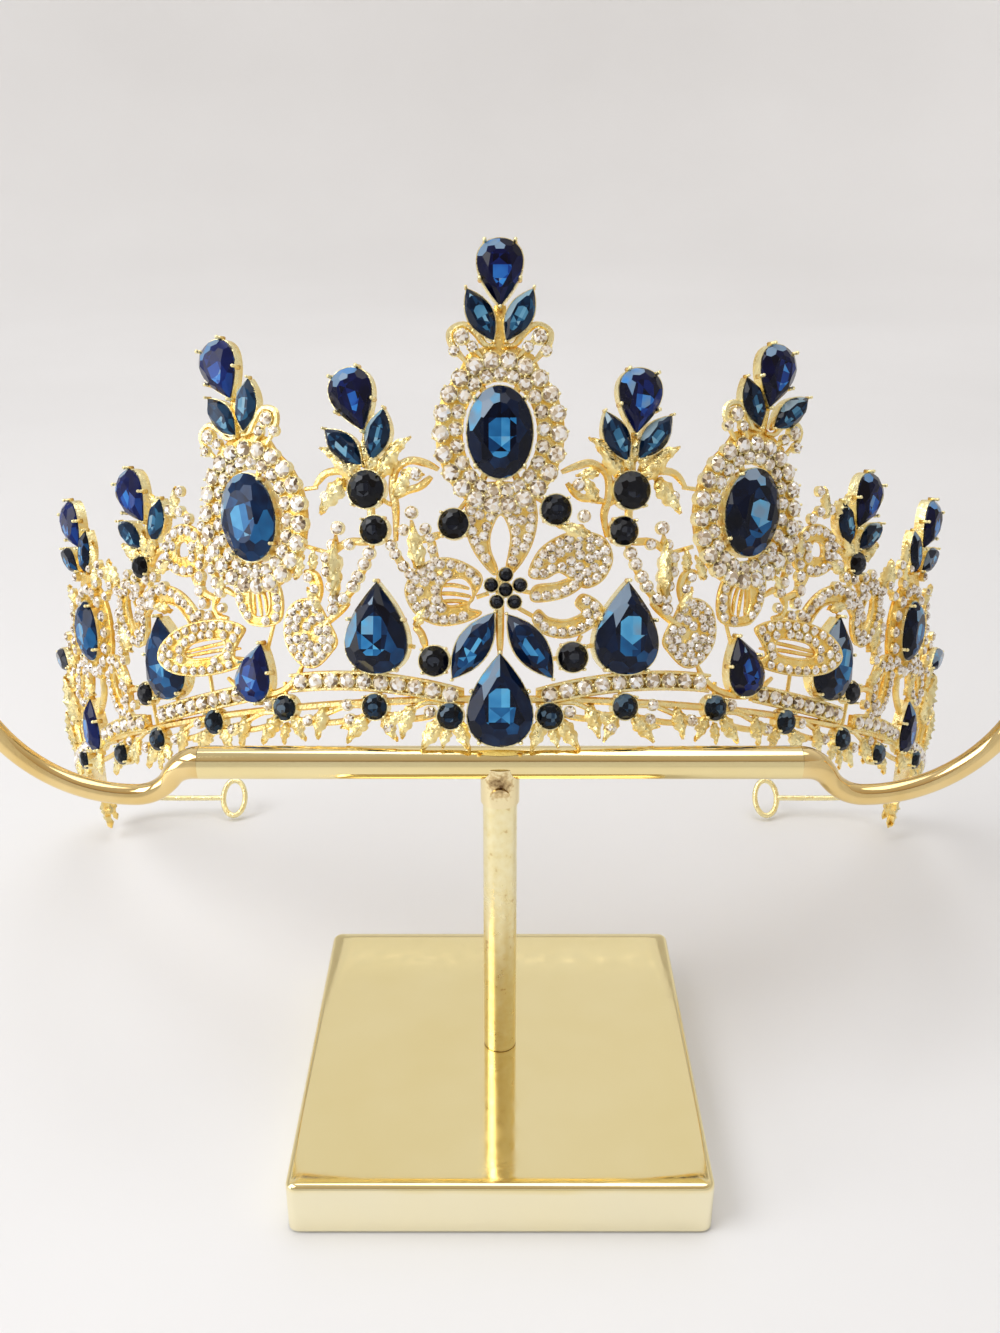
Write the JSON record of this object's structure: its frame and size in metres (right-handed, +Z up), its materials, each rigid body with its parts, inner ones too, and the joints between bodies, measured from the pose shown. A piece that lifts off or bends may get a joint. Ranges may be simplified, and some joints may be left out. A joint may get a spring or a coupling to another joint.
{
  "type": "crystal tiara on a T-bar display stand",
  "caption": "Pierced gold-coloured tiara with blue faceted stones and clear halos, leaning on a T-bar display stand with a square plate.",
  "frame": {"origin": "middle of the underside of the whole: the floor under stand and tiara", "axes": "+Z up, -Y the side that the tiara faces, +X to the right of someone who looks at its front"},
  "size_m": [0.1872, 0.1282, 0.1381],
  "materials": {
    "gold_casting": "polished",
    "stand_metal": "mirror",
    "blue_stone": "faceted, foil-backed",
    "black_stone": "faceted",
    "clear_stone": "faceted, foil-backed"
  },
  "bodies": {
    "root": {"base_plate": "stand_metal", "post": "stand_metal", "post_collar": "stand_metal", "cross_bar": "stand_metal", "arm_left": "stand_metal", "arm_right": "stand_metal", "frame": "gold_casting", "peak_pear_c": "blue_stone", "crest_leaf_cl": "blue_stone", "crest_leaf_cr": "blue_stone", "oval_c": "blue_stone", "drop_leaf_l": "blue_stone", "drop_leaf_r": "blue_stone", "drop_pear_c": "blue_stone", "peak_pear_l1": "blue_stone", "crest_leaf_l1_out": "blue_stone", "crest_leaf_l1_in": "blue_stone", "big_pear_l1": "blue_stone", "peak_pear_r1": "blue_stone", "crest_leaf_r1_in": "blue_stone", "crest_leaf_r1_out": "blue_stone", "big_pear_r1": "blue_stone", "peak_pear_l2": "blue_stone", "crest_leaf_l2_out": "blue_stone", "crest_leaf_l2_in": "blue_stone", "oval_l2": "blue_stone", "small_pear_l2": "blue_stone", "peak_pear_r2": "blue_stone", "crest_leaf_r2_in": "blue_stone", "crest_leaf_r2_out": "blue_stone", "oval_r2": "blue_stone", "small_pear_r2": "blue_stone", "peak_pear_l3": "blue_stone", "crest_leaf_l3_out": "blue_stone", "crest_leaf_l3_in": "blue_stone", "big_pear_l3": "blue_stone", "peak_pear_r3": "blue_stone", "crest_leaf_r3_in": "blue_stone", "crest_leaf_r3_out": "blue_stone", "big_pear_r3": "blue_stone", "peak_pear_l4": "blue_stone", "oval_l4": "blue_stone", "small_pear_l4": "blue_stone", "peak_pear_r4": "blue_stone", "oval_r4": "blue_stone", "small_pear_r4": "blue_stone", "side_leaves_left": "blue_stone", "side_leaves_right": "blue_stone", "upper_rounds": "black_stone", "band_rounds": "black_stone", "flower_stones": "black_stone", "halo_stones_c": "clear_stone", "halo_stones_l": "clear_stone", "halo_stones_r": "clear_stone", "row_stones": "clear_stone"}
  },
  "joints": []
}
